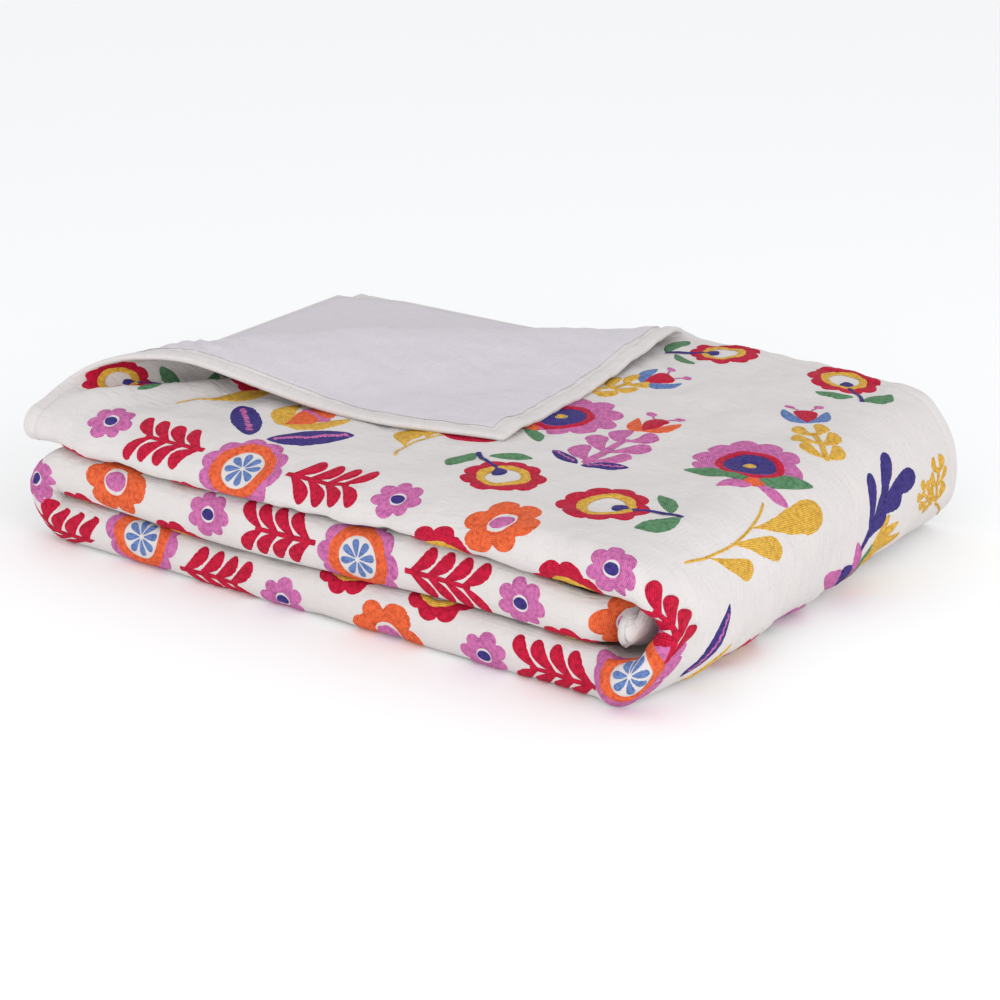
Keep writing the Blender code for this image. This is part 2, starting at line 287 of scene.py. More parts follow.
def run_along(stretches, distance):
    """Points of a path at the given distances, with the number of the stretch and the share of it there."""
    ends = np.cumsum([length for length, _ in stretches])
    number = np.minimum(np.searchsorted(ends, distance - 1e-9), len(stretches) - 1)
    share = np.zeros_like(distance)
    points = np.zeros((2, len(distance)))
    for count, (length, point) in enumerate(stretches):
        here = number == count
        share[here] = (distance[here] - (ends[count] - length))/length
        points[:, here] = point(share[here])
    return points, number, share


# %% The strip's section: how deep each layer reaches, and how high it lies in the strip
FRONT_TURN = FRONT + STRIP_HALF
INNER_FRONT = FRONT_TURN + 0.036
BACK_TURN = BACK - HALF_UP - CLOTH/2 - 0.001
TOP_HEM, SECOND_HEM = BACK - 0.002, BACK - 0.0225
STRIP = path((TOP_HEM, FULL_UP), (FRONT_TURN, FULL_UP), (FULL_UP, 90, 270),
             (BACK_TURN, -FULL_UP), (HALF_UP, -90, 90),
             (INNER_FRONT, -HALF_UP), (HALF_UP, 270, 90), (SECOND_HEM, HALF_UP))
STRIP_LENGTHS = np.array([length for length, _ in STRIP])
TOP_LAYER, SECOND_LAYER = 0, 6
FIRST_INNER = 4                 # from this stretch on, a layer is an inner one
CLOTH_WIDTH = STRIP_LENGTHS.sum()

# %% The strip's way through the stack, as X and height
TURN_REACH = 1.5*LEVEL_PITCH                    # of the outer wrap
RIGHT_TURN = LENGTH/2 - TURN_REACH - STRIP_HALF
SAG_RADIUS = 0.0310                             # the outer wrap sags on to the floor
INNER_TURN = RIGHT_TURN + 0.002
LEFT_TURN = LEFT + LEVEL_PITCH/2 + STRIP_HALF + 0.003
HIDDEN_END = LEFT + 0.012
BOTTOM_AT, SECOND_AT, THIRD_AT, TOP_AT = LEVEL_HEIGHTS
WAY = path((LEFT, TOP_AT), (RIGHT_TURN, TOP_AT), (TURN_REACH, 90, 0),
           (RIGHT_TURN + TURN_REACH, BOTTOM_AT + SAG_RADIUS), (SAG_RADIUS, 0, -90),
           (LEFT_TURN, BOTTOM_AT), (LEVEL_PITCH/2, 270, 90),
           (INNER_TURN, SECOND_AT), (LEVEL_PITCH/2, -90, 90), (HIDDEN_END, THIRD_AT))
WAY_FROM = np.array((TOP, TOP, TOP, TOP, BOTTOM, BOTTOM, SECOND, SECOND, THIRD))     # a stretch's levels
WAY_TO = np.array((TOP, BOTTOM, BOTTOM, BOTTOM, BOTTOM, SECOND, SECOND, THIRD, THIRD))
WAY_LENGTHS = np.array([length for length, _ in WAY])
TOP_RUN, LAST_OF_OUTER_WRAP, BOTTOM_RUN, LEFT_ENDS, SECOND_RUN, INNER_WRAP = 0, 3, 4, 5, 6, 7
CLOTH_LENGTH = WAY_LENGTHS.sum()
print(f"flat cloth: {CLOTH_LENGTH:.3f} m by {CLOTH_WIDTH:.3f} m")

# %% [markdown]
# ## Soft folds are never even
# A neat fold would look like sheet metal. Here the creases between the front rolls rise and sag, the
# rolls swell to fill the room between them, the thin edges of the wraps stand out a little, and the stack
# is higher beside the turned corner.

# %% Heights and swelling of the front rolls
# An uneven height is its mean, then its bumps along X: (rise, middle, reach)
LOWER_CREASE = (0.0400, (-0.0055, -0.10, 0.20), (0.0015, 0.14, 0.09))
UPPER_CREASE = (0.0815, (-0.0040, -0.17, 0.13), (0.0050, 0.09, 0.12))
CROWN = (0.1175, (-0.0020, -0.06, 0.10), (0.0015, 0.12, 0.12))
CREASE_GAP, GAPE = 0.0013, 0.0040       # half gap in a crease, and how much wider it opens at the right end
SLOPE_DEPTH, SLOPE_DROP = 0.060, 0.018  # the top roll's front starts so much lower, and rises over that depth
THIRD_FRONT = 0.0765            # height of the third level's front edge where it meets the inner wrap
PUFF = 0.0075                   # how much higher the top level stands at the back


def uneven(height, x):
    """The mean height plus rise times bump for each of its bumps."""
    mean, *bumps = height
    return mean + sum(rise*bump(x, middle, reach) for rise, middle, reach in bumps)


def front_rolls(x, depth):
    """Middle and half height of the four levels' front rolls at x, each as an array of four.

    The top one slopes up to its crown by (1 - t)^2, t being the depth as a share of SLOPE_DEPTH."""
    lower, upper, crown = (uneven(height, x) for height in (LOWER_CREASE, UPPER_CREASE, CROWN))
    short_of_crown = (1.0 - np.clip(depth/SLOPE_DEPTH, 0.0, 1.0))**2
    crown = crown - SLOPE_DROP*between(-0.37, -0.25, 0.10, 0.20, x)*short_of_crown
    gaping = GAPE*ease(0.19, 0.25, x)
    third = toward(THIRD_AT, THIRD_FRONT, ease(INNER_TURN - 0.06, INNER_TURN, x))
    low = np.array((0.0*x, lower + CREASE_GAP, third - STRIP_HALF, upper + CREASE_GAP))
    high = np.array((lower - CREASE_GAP, upper - CREASE_GAP - gaping, third + STRIP_HALF, crown))
    return (low + high)/2, (high - low)/2


def rolled_here(x, depth):
    """1 in the front rolls and 0 behind them; they are shorter at the right end."""
    shorter = ease(0.10, 0.22, x)
    return fade(0.020 - 0.008*shorter, 0.088 - 0.038*shorter, depth)


def puffed(x, depth):
    """How much higher the four levels stand at the back, beside the turned corner."""
    rise = PUFF*np.array((0.0, 0.0, 0.5, 1.0)).reshape((4,) + (1,)*x.ndim)
    return rise*ease(0.20, 0.42, depth)*bump(x, 0.10, 0.24)


crease_x = np.linspace(LEFT, RIGHT_TURN, 50)
print("the lower crease rises and falls by", np.ptp(uneven(LOWER_CREASE, crease_x)).round(4), "m")


# %% The turned corner: a roll of elliptical section along a slanting fold
FOLD_START = np.array((LEFT, FRONT + 0.0225))
FOLD_ANGLE = math.radians(51)
FOLD_ALONG = np.array((math.cos(FOLD_ANGLE), math.sin(FOLD_ANGLE)))
FOLD_OVER = np.array((-math.sin(FOLD_ANGLE), math.cos(FOLD_ANGLE)))
FOLD_WIDER, FOLD_FLARE = 1.9, 0.016     # breadth of the roll's section to its height; how far the fold bends
ROLL_RADIUS, GROWS, SHRINKS = 0.0095, 0.0070, 0.0110
COMES_DOWN, RESTING = 0.11, CLOTH + 0.0012      # it comes down over this distance, to this height
HEM_BOW = 0.015                 # how far the turned hem bows out between its ends
LIP = 0.0065                    # how much the cloth is pushed up in front of the fold


def from_fold(x, y):
    """Distance along the fold, how far the fold has bent off there, and distance beyond it."""
    along, over = ((x - FOLD_START[0])*way[0] + (y - FOLD_START[1])*way[1] for way in (FOLD_ALONG, FOLD_OVER))
    bent = FOLD_FLARE*ease(0.30, 0.56, along)
    return along, bent, over + bent


def pushed_up(x, y):
    """The ridge that the turned corner pushes up in front of the fold, with a sharp crease behind it."""
    along, _, over = from_fold(x, y)
    return LIP*between(-0.045, -0.013, -0.011, 0.0, over)*between(0.0, 0.05, 0.22, 0.38, along)


def turned_corner(x, y):
    """Place of top-layer points beyond the fold, and their height above the layer they lie on.

    Out = k r sin(a) and height = r (1 - cos(a)) over half an ellipse, then straight back and down."""
    along, bent, over = from_fold(x, y)
    radius = ROLL_RADIUS + GROWS*ease(-0.02, 0.13, along) - SHRINKS*ease(0.22, 0.60, along)
    rolled = math.pi*radius*(1.0 + FOLD_WIDER)/2
    angle = math.pi*np.clip(over/rolled, 0.0, 1.0)
    beyond = np.maximum(over - rolled, 0.0)
    height = radius*(1.0 - np.cos(angle)) - (2.0*radius - RESTING)*ease(0.0, COMES_DOWN, beyond)
    out = FOLD_WIDER*radius*np.sin(angle) - beyond - bent
    new_x, new_y = (FOLD_START[axis] + along*FOLD_ALONG[axis] + out*FOLD_OVER[axis] for axis in (0, 1))
    new_y = new_y - HEM_BOW*bump(along, 0.25, 0.11)*ease(0.06, 0.16, beyond)
    turned = over > 0.0
    return np.where(turned, new_x, x), np.where(turned, new_y, y), np.where(turned, height, 0.0)


# %% Numbers of the unevenness
EAR, LOBE, BEHIND_LOBE = 0.013, 0.006, 0.021    # how far those edges stand out, and the roll's end lies back
OUTER_BACK = 0.015              # how far the outer wrap's edge draws back between the top roll and the floor
LOBE_SHIFT, LOBE_SQUEEZE = 0.014, 0.55      # the inner wrap's front edge lies further right, and is tighter
OUTER_EDGE, INNER_EDGE = -0.42, -0.52       # swell of those edges: they are thin
INNER_SWELL = 0.35              # share of the outer layers' swell that the inner ones have
PRESSED = 0.04                  # share of its thickness that the strip loses in a tight turn
THIRD_BACK, LOBE_BACK = 0.088, 0.040        # how far the third level and the inner wrap lie back
FLOOR_EAR = 0.65                # share of the ear that the floor takes away again
FLOOR_ROUNDING, HEM_ROUNDING, LEFT_LEAN = 0.022, 0.020, 0.006       # of corners in plan, and of the left ends


print(f"the wrap's front edge stands out by {EAR*1000:.0f} mm, and the inner one's by {LOBE*1000:.0f} mm")


# %% Swelling and edges, stretch by stretch
def in_outer_wrap(part):
    return (part > TOP_RUN) & (part <= LAST_OF_OUTER_WRAP)


def swell_of(part, way_share, done, x, swell):
    """The levels' own swell, and less of it where the strip turns, whose edges are thin."""
    pinch = np.where(in_outer_wrap(part), between(0.0, 0.25, 0.75, 1.0, done), 0.0)
    swell = toward(swell, OUTER_EDGE, pinch)
    swell = np.where(part == LEFT_ENDS, swell*(1.0 - 0.4*np.sin(math.pi*way_share)), swell)
    thin = np.where(part == INNER_WRAP, 0.3 + 0.7*ease(0.0, 0.4, way_share), 1.0)
    thin = np.where(part == SECOND_RUN, 0.3*ease(INNER_TURN - 0.008, INNER_TURN, x), thin)
    return toward(swell, INNER_EDGE, np.where(part > LEFT_ENDS, thin, 0.0))


def set_back_of(part, way_share, x):
    """How far the inner wrap and the third level lie back from the front."""
    third = toward(THIRD_BACK, LOBE_BACK, ease(INNER_TURN - 0.12, INNER_TURN, x))
    return np.where(part >= INNER_WRAP, np.where(part == INNER_WRAP, LOBE_BACK*way_share, third), 0.0)


def ear_of(part, way_share, done, x):
    """How far the front edge of a wrap stands out; the roll beside the inner wrap lies back instead."""
    ear = np.where(part == BOTTOM_RUN, EAR*ease(-0.002, 0.006, x - RIGHT_TURN), 0.0)
    outer_ear = EAR*ease(0.62, 0.95, done) - OUTER_BACK*bump(done, 0.46, 0.34)
    ear = np.where(in_outer_wrap(part), outer_ear, ear)
    ear = np.where(part == INNER_WRAP, LOBE*(1.0 - 0.6*ease(0.3, 0.8, way_share)), ear)
    return np.where(part == SECOND_RUN, -BEHIND_LOBE*ease(INNER_TURN - 0.023, INNER_TURN - 0.001, x), ear)


def pick(values, level):
    """At each point, the one of the four levels' values that `level` names."""
    return np.take_along_axis(values, np.broadcast_to(level, values.shape[1:])[None], axis=0)[0]


# %% The mapping itself
def folded(along, across):
    """World places of the grid of flat points (along x across): an array of 3 by rows by columns.

    Middle of the strip + height in the strip times the strip's normal, with the folds' unevenness added."""
    way_points, part, way_share = run_along(WAY, along)
    section, layer, _ = run_along(STRIP, across)
    slightly = 1e-4
    ahead = run_along(WAY, np.clip(along + slightly, 0, CLOTH_LENGTH))[0]
    ahead = ahead - run_along(WAY, np.clip(along - slightly, 0, CLOTH_LENGTH))[0]
    column = [value[:, None] for value in (*way_points, part, way_share, *ahead)]
    here_x, here_z, part, way_share, ahead_x, ahead_z = column
    shape = (len(along), len(across))
    x, y = np.broadcast_to(here_x, shape), np.broadcast_to(section[0], shape)
    height_in_strip = np.broadcast_to(section[1], shape)
    from_level, to_level = WAY_FROM[part], WAY_TO[part]
    rise = LEVEL_HEIGHTS[to_level] - LEVEL_HEIGHTS[from_level]
    joins = rise != 0.0
    done = np.where(joins, (here_z - LEVEL_HEIGHTS[from_level])/np.where(joins, rise, 1.0), 0.0)
    on_top = (part == TOP_RUN) & (layer == TOP_LAYER)
    turned_x, turned_y, above = turned_corner(x, y)
    above = np.where(on_top, above + pushed_up(x, y), 0.0)
    x, y = np.where(on_top, turned_x, x), np.where(on_top, turned_y, y)

    depth = y - FRONT
    rolled = rolled_here(x, depth)
    roll_middle, roll_half = front_rolls(x, depth)
    flat = LEVEL_HEIGHTS[:, None, None] + puffed(x, depth)
    heights = toward(flat, roll_middle, rolled)
    low, high = pick(heights, from_level), pick(heights, to_level)
    swells = (roll_half - CLOTH/2)/FULL_UP - 1.0
    swell = toward(pick(swells, from_level), pick(swells, to_level), ease(0.0, 1.0, done))
    swell = swell_of(part, way_share, done, x, swell)
    ear = ear_of(part, way_share, done, x)
    new_y = y + set_back_of(part, way_share, x)*fade(0.0, 0.9*WIDTH, depth) - ear*rolled
    up = height_in_strip*(1.0 + swell*rolled*np.where(layer >= FIRST_INNER, INNER_SWELL, 1.0))
    tight = (part == LEFT_ENDS) | (part == INNER_WRAP)
    up = np.where(tight, up*(1.0 - PRESSED*np.sin(math.pi*way_share)), up)

    stretched = np.where(joins, (high - low)/np.where(joins, rise, 1.0), 1.0)
    side_x, side_z = -ahead_z*stretched, ahead_x
    length = np.hypot(side_x, side_z)
    at_lobe = np.where(part > LEFT_ENDS, ease(INNER_TURN - 0.03, INNER_TURN, x)*rolled, 0.0)
    squeezed = 1.0 - LOBE_SQUEEZE*np.where(part == INNER_WRAP, rolled, 0.0)
    new_x = x + up*side_x/length
    new_x = new_x + at_lobe*(LOBE_SHIFT - (1.0 - squeezed)*(new_x - INNER_TURN))
    new_z = toward(low, high, done) + up*side_z/length + above
    new_y = new_y + FLOOR_EAR*np.maximum(ear, 0.0)*rolled*fade(0.0, 0.018, new_z)
    corner = ease(0.0, 0.060, new_x - RIGHT_TURN)*fade(0.0, 0.09, depth)
    new_x = new_x - np.where(on_top, 0.0, FLOOR_ROUNDING*corner*fade(0.0, 0.06, new_z))
    new_x = new_x - np.where(part == LEFT_ENDS, LEFT_LEAN*between(0.0, 0.5, 0.6, 1.0, done), 0.0)
    rounded = HEM_ROUNDING*fade(0.0, 0.07, x - LEFT)*ease(0.25, 0.45, depth)
    new_y = new_y - np.where((part == TOP_RUN) & (layer == SECOND_LAYER), rounded, 0.0)
    return np.array((new_x, new_y, new_z)) - PLAN_MIDDLE[:, None, None]


# %% [markdown]
# ## From the mapping to a padded sheet
# A padded cloth is not a flat sheet of even thickness: its hem is a rolled edge, and a row of stitches
# sinks in beside it. So the two sides are worked out from the middle surface and its normals, half a
# thickness each way, and the rim between them is a half circle.

# %% Grid lines: close together where the cloth shows or bends
def lines_for(lengths, steps):
    """Distances of grid lines, with the given step in each stretch."""
    lines, start = [np.zeros(1)], 0.0
    for length, step in zip(lengths, steps):
        count = max(2, round(length/step))
        lines.append(start + length*np.arange(1, count + 1)/count)
        start += length
    return np.concatenate(lines)


HEM_LINES = np.array((0.0015, 0.004, 0.0065, 0.0085, 0.0095, 0.0105, 0.0125, 0.015))
along_lines = lines_for(WAY_LENGTHS, (0.0050, 0.0042, 0.0042, 0.0042, 0.0180, 0.0040, 0.0140, 0.0042, 0.030))
across_lines = lines_for(STRIP_LENGTHS, (0.0049, 0.0030, 0.0300, 0.0036, 0.0400, 0.0036, 0.0140))


def with_hem(lines, total):
    """The lines, with closer ones beside both ends."""
    inner = lines[(lines > HEM_LINES[-1] + 0.001) & (lines < total - HEM_LINES[-1] - 0.001)]
    return np.concatenate(([0.0], HEM_LINES, inner, total - HEM_LINES[::-1], [total]))


LOBE_LINES = np.array((0.023, 0.019, 0.015, 0.0115, 0.0085, 0.006, 0.004, 0.002))     # before the lobe
lobe_starts = WAY_LENGTHS[:INNER_WRAP].sum()
far_from_it = np.abs(lobe_starts - 0.0135 - along_lines) > 0.0130
along_lines = np.sort(np.concatenate((along_lines[far_from_it], lobe_starts - LOBE_LINES)))
along_lines = with_hem(along_lines, CLOTH_LENGTH)
across_lines = with_hem(across_lines, CLOTH_WIDTH)
print("grid of the cloth:", len(along_lines), "by", len(across_lines))


# %% Soft irregularity, as a sum of plane waves
def ripples(u, v, wavelength, seed, waves=14):
    """Mean 0, about -1 to 1: sines of random directions and phases, near one wavelength."""
    dice = np.random.default_rng(seed)
    total = np.zeros(np.broadcast(u, v).shape)
    for _ in range(waves):
        angle, phase = dice.uniform(0.0, 2.0*math.pi, 2)
        number = 2.0*math.pi/(wavelength*dice.uniform(0.7, 1.5))
        total += np.sin(number*(u*math.cos(angle) + v*math.sin(angle)) + phase)
    return total/math.sqrt(waves)


# %% Sides of the sheet
GROOVE, GROOVE_AT, GROOVE_REACH = 0.45, 0.0095, 0.0022  # depth as a share of CLOTH, place, half breadth
DENT, FINE_DENT, GATHER = 0.0011, 0.0005, 0.0014        # heights of the dents, and of the corner's gathers
GATHER_STEP = 0.015                                     # from one gather to the next


def normals_of(points):
    """Unit normals of a grid of points: the cross product of its two tangents."""
    along_tangent = np.gradient(points, axis=1)
    across_tangent = np.gradient(points, axis=2)
    normal = np.cross(across_tangent, along_tangent, axis=0)
    return normal/np.linalg.norm(normal, axis=0)


def half_thickness(along, across):
    """Half of CLOTH, but thinner in the groove of the stitches beside the hem."""
    hem_distance = np.minimum(np.minimum(along, CLOTH_LENGTH - along)[:, None],
                              np.minimum(across, CLOTH_WIDTH - across)[None])
    return CLOTH/2*(1.0 - GROOVE*bump(hem_distance, GROOVE_AT, GROOVE_REACH))


middle = folded(along_lines, across_lines)
flat_u, flat_v = np.meshgrid(along_lines, across_lines, indexing="ij")
normal = normals_of(middle)
on_show = between(0.0, 0.02, 1.1, 1.2, flat_u)*fade(0.50, 0.53, flat_v)
dents = DENT*ripples(flat_u, flat_v, 0.055, 3) + FINE_DENT*ripples(flat_u, flat_v, 0.022, 8)
fold_along, _, fold_over = from_fold(LEFT + flat_u, TOP_HEM - flat_v)
turns = (fold_along - 0.25*fold_over)/GATHER_STEP
gathers = np.sin(2.0*math.pi*turns + 2.0*ripples(flat_u, flat_v, 0.05, 5))
dents = dents - GATHER*gathers*bump(fold_along, 0.13, 0.075)*bump(fold_over, 0.065, 0.05)
middle = middle + normal*dents*on_show
middle[2] = np.maximum(middle[2], CLOTH/2)          # the floor stays flat
normal = normals_of(middle)
thickness = half_thickness(along_lines, across_lines)
print("spread of the dents:", round(float(np.ptp(dents))*1000, 2), "mm")


# %% Faces of a grid, and a mesh from arrays
def grid_faces(rows, columns, first):
    """Corner numbers of the quads of a grid whose points are numbered row by row."""
    number = first + np.arange(rows*columns).reshape(rows, columns)
    corners = number[:-1, :-1], number[:-1, 1:], number[1:, 1:], number[1:, :-1]
    return np.stack(corners, axis=-1).reshape(-1, 4)


def rim_order(rows, columns):
    """Numbers of the border points of a grid, once round."""
    number = np.arange(rows*columns).reshape(rows, columns)
    return np.concatenate((number[0, :-1], number[:-1, -1], number[-1, :0:-1], number[:0:-1, 0]))


def mesh_object(name, points, faces, flat_places):
    """A smooth mesh with a UV map, in metres of flat cloth."""
    mesh = bpy.data.meshes.new(name)
    mesh.vertices.add(len(points))
    mesh.vertices.foreach_set("co", points.ravel())
    mesh.loops.add(faces.size)
    mesh.loops.foreach_set("vertex_index", faces.ravel())
    mesh.polygons.add(len(faces))
    mesh.polygons.foreach_set("loop_start", np.arange(len(faces))*faces.shape[1])
    mesh.polygons.foreach_set("use_smooth", np.ones(len(faces), dtype=bool))
    flat_map = mesh.uv_layers.new(name="flat")
    flat_map.data.foreach_set("uv", flat_places[faces.ravel()].ravel())
    mesh.update(calc_edges=True)
    mesh.validate()
    thing = bpy.data.objects.new(name, mesh)
    bpy.context.scene.collection.objects.link(thing)
    return thing


# %% One closed mesh from two sides and a rim
def padded_sheet(name, middle, normal, half, u, v, rim_steps=4):
    """Two sides at middle +- half * normal, joined by a rim that is a half circle of radius half."""
    rows, columns = middle.shape[1:]
    face_side = (middle + normal*half).reshape(3, -1).T
    lining_side = (middle - normal*half).reshape(3, -1).T
    flat = np.stack((u.ravel(), v.ravel()), axis=-1)
    border = rim_order(rows, columns)
    outwards = np.zeros((3, rows, columns))
    for edge, inner in ((0, 1), (-1, -2)):
        outwards[:, edge] += middle[:, edge] - middle[:, inner]
        outwards[:, :, edge] += middle[:, :, edge] - middle[:, :, inner]
    outwards = outwards.reshape(3, -1).T[border]
    outwards /= np.linalg.norm(outwards, axis=1, keepdims=True)
    centre = middle.reshape(3, -1).T[border]
    up = normal.reshape(3, -1).T[border]
    radius = half.ravel()[border][:, None]
    angles = np.linspace(0.0, math.pi, rim_steps + 1)[1:-1]
    rings = [centre + radius*(math.cos(angle)*up + math.sin(angle)*outwards) for angle in angles]
    count, length = rows*columns, len(border)
    points = np.concatenate([face_side, lining_side, *rings])
    flats = np.concatenate([flat, flat] + [flat[border]]*len(rings))
    chain = [border] + [2*count + step*length + np.arange(length) for step in range(len(rings))]
    chain.append(count + border)
    rim = [np.stack((np.roll(upper, -1), upper, lower, np.roll(lower, -1)), axis=-1)
           for upper, lower in zip(chain, chain[1:])]
    faces = np.concatenate([grid_faces(rows, columns, 0), grid_faces(rows, columns, count)[:, ::-1], *rim])
    return mesh_object(name, points, faces, flats)


padded_cloth = padded_sheet("padded_cloth_soft", middle, normal, thickness, flat_u, flat_v)
print("padded cloth:", 2*len(padded_cloth.data.polygons), "triangles")
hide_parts("padded_cloth")
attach(padded_cloth, "root")

# %% [markdown]
# ## Laying things on the cloth
# The linings and every stitched shape are drawn on the flat cloth and then laid on the folded one. A flat
# point falls in one cell of the grid, and the place, the normal and everything else are mixed from the
# cell's four corners. So whatever is laid on the cloth follows the very facets that are drawn, and
# nothing sinks in or floats.


# %% Bilinear mixing of the cloth's grids
def cell_of(lines, distance):
    """Number of the grid interval that each distance falls in, and the share of it there."""
    number = np.clip(np.searchsorted(lines, distance, side="right") - 1, 0, len(lines) - 2)
    return number, (distance - lines[number])/(lines[number + 1] - lines[number])


def mixed(grid, along, across):
    """Values of a grid (its last two axes are along and across) at flat places."""
    row, down = cell_of(along_lines, along)
    column, over = cell_of(across_lines, across)
    near = grid[..., row, column]*(1 - over) + grid[..., row, column + 1]*over
    far = grid[..., row + 1, column]*(1 - over) + grid[..., row + 1, column + 1]*over
    return near*(1 - down) + far*down


def on_cloth(along, across, side=1):
    """Places and unit normals on the face side (side = 1) or the lining side (side = -1)."""
    places = mixed(middle + side*normal*thickness, along, across)
    normals = mixed(side*normal, along, across)
    return places, normals/np.linalg.norm(normals, axis=0)


# %% True distances on the face side
def travelled(points, axis):
    """Length walked on the surface from its first row or column: the sum of the steps."""
    steps = np.linalg.norm(np.diff(points, axis=axis), axis=0)
    return np.insert(np.cumsum(steps, axis=axis - 1), 0, 0.0, axis=axis - 1)


SETTLE, ROUNDS = 0.6, 12
face_side = middle + normal*thickness
walked_along, walked_across = travelled(face_side, 1), travelled(face_side, 2)
print("rounds of settling for each stitched shape:", ROUNDS)


def flat_place(along, across, x, y):
    """Flat place that lies x further along and y further across than the given one, on the bulging face.

    Each round moves it by SETTLE times what is still missing."""
    to_along, to_across = along + x, across + y
    from_along, from_across = along + 0*x, across + 0*y
    for _ in range(ROUNDS):
        missing_x = x - (mixed(walked_along, to_along, to_across)
                         - mixed(walked_along, from_along, to_across))
        missing_y = y - (mixed(walked_across, to_along, to_across)
                         - mixed(walked_across, to_along, from_across))
        to_along = np.clip(to_along + SETTLE*missing_x, 0.0, CLOTH_LENGTH)
        to_across = np.clip(to_across + SETTLE*missing_y, 0.0, CLOTH_WIDTH)
    return to_along, to_across


# %% [markdown]
# ## The grey lining
# Inside the rolled hem and its row of stitches the lining is a plain cloth of its own. It shows on the
# turned corner and on the layer bared under it. Each of the two pieces is a grid stretched between the
# hem and a hidden edge in the fold's crease, laid a hair off the lining side.

# %% The two linings
LINING, LINING_GAP = 0.0006, 0.0002     # thickness and gap
BAND, NARROW_BAND = 0.0125, 0.0045      # distance from the hem's edge, on the corner and on the second layer


def lining(name, first_edge, second_edge, steps):
    """A thin closed sheet between two flat curves: (1 - s) times the first plus s times the second."""
    share = np.linspace(0.0, 1.0, steps)
    flat = first_edge[:, :, None]*(1.0 - share) + second_edge[:, :, None]*share
    places, normals = on_cloth(*flat, side=-1)
    places = places + normals*(LINING_GAP + LINING/2)
    half = np.full(flat.shape[1:], LINING/2)
    piece = padded_sheet(name, places, normals, half, *flat, rim_steps=2)
    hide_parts(name.replace("_soft", ""))
    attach(piece, "root")
    return piece


def to_fold(y, beyond):
    """Distance along, from the hem, at which the line `beyond` the fold's start has the given y."""
    return FOLD_START[0] - LEFT + ((y - FOLD_START[1])*FOLD_OVER[1] - beyond)/-FOLD_OVER[0]


tip = TOP_HEM - (FOLD_START[1] + 0.028)
across = np.linspace(BAND, tip, 110)
reach = np.maximum(to_fold(TOP_HEM - across, -0.004), BAND + 0.0005)
corner_lining = lining("lining_turned_corner_soft", np.array((np.full_like(across, BAND), across)),
                       np.array((reach, across)), 110)
from_hem = np.linspace(NARROW_BAND, 0.39, 60)
reach = np.maximum(to_fold(SECOND_HEM - from_hem, -0.018), NARROW_BAND + 0.002)
second_lining = lining("lining_second_layer_soft",
                       np.array((reach, CLOTH_WIDTH - from_hem)),
                       np.array((np.full_like(from_hem, NARROW_BAND), CLOTH_WIDTH - from_hem)), 60)

# %% [markdown]
# ## Stitched shapes
# The flowers are embroidered: rows of small chain stitches fill each petal, so it stands a little above
# the cloth and is domed. Each shape is a grid over its length and its breadth. Three kinds are enough: a
# petal along a bent line, a ring with lobes round a centre, and a stem along a curve. Each returns its
# flat places, its height, and the lengths along and across its rows of stitches, which its thread finish
# reads as a UV map.

# %% Outlines and strips of stitches
THREAD_HEIGHT, OVER, SUNK = 0.0009, 0.0004, 0.00012     # of the stitches, of those over others, of their edge
VEIN, STALK = 0.0046, 0.0018                            # breadths of a leaf's vein and a dot's stalk


def dome(breadth):
    """Height across a shape, from 0 at the edges to 1 in the middle: (1 - t^2)^0.4."""
    return np.power(np.clip(1.0 - breadth**2, 0.0, 1.0), 0.4)


def outline_of(kind, share):
    """Half breadth of a petal at a share of its length, at most about 1."""
    share = np.clip(share, 0.0, 1.0)
    if kind == "leaf":
        return np.sin(math.pi*share)**0.7
    if kind == "disc":
        return np.sqrt(np.clip(1.0 - (2.0*share - 1.0)**2, 0.0, 1.0))
    if kind == "paddle":
        return 1.33*share**0.75*np.sqrt(1.0 - share**7)
    return 1.66*share**1.25*np.sqrt(1.0 - share**6)         # a drop


def strip(centre, side, half, along, columns):
    """The grid centre + side * half * t with t from -1 to 1 across, those t, and the rows of stitches."""
    across = np.linspace(-1.0, 1.0, columns)
    offset = half[:, None]*across
    rows_of_stitches = np.array((np.broadcast_to(along[:, None], offset.shape), offset))
    return centre[:, :, None] + side.reshape(2, -1, 1)*offset, across, rows_of_stitches


def left_of(run):
    """Unit vectors to the left of the given ones, as an array of 2 by however many."""
    return np.array((-run[1], run[0]))/np.hypot(*run)


# %% Petals, leaves and discs
def petal(start, end, breadth, bend=0.0, kind="drop", rows=12, columns=7):
    """A shape round the line from start to end, bent sideways by bend * 4 s (1 - s)."""
    start, run = np.array(start), np.subtract(end, start)
    share = (1.0 - np.cos(np.linspace(0.0, math.pi, rows)))/2
    centre = start[:, None] + run[:, None]*share + left_of(run)[:, None]*bend*4.0*share*(1.0 - share)
    half = breadth/2*outline_of(kind, share)
    flat, across, rows_of_stitches = strip(centre, left_of(run), half, math.hypot(*run)*share, columns)
    ends = np.sqrt(np.clip(half/(0.25*breadth), 0.0, 1.0))[:, None]
    return flat, dome(across)*ends, rows_of_stitches


def leaf(start, end, breadth, bend=0.0, **grid):
    """A petal that is pointed at both ends."""
    return petal(start, end, breadth, bend, "leaf", **grid)


def disc(middle, half, breadth, **grid):
    """An ellipse of the given half length and breadth."""
    return petal(np.subtract(middle, (half, 0)), np.add(middle, (half, 0)), breadth, 0.0, "disc", **grid)


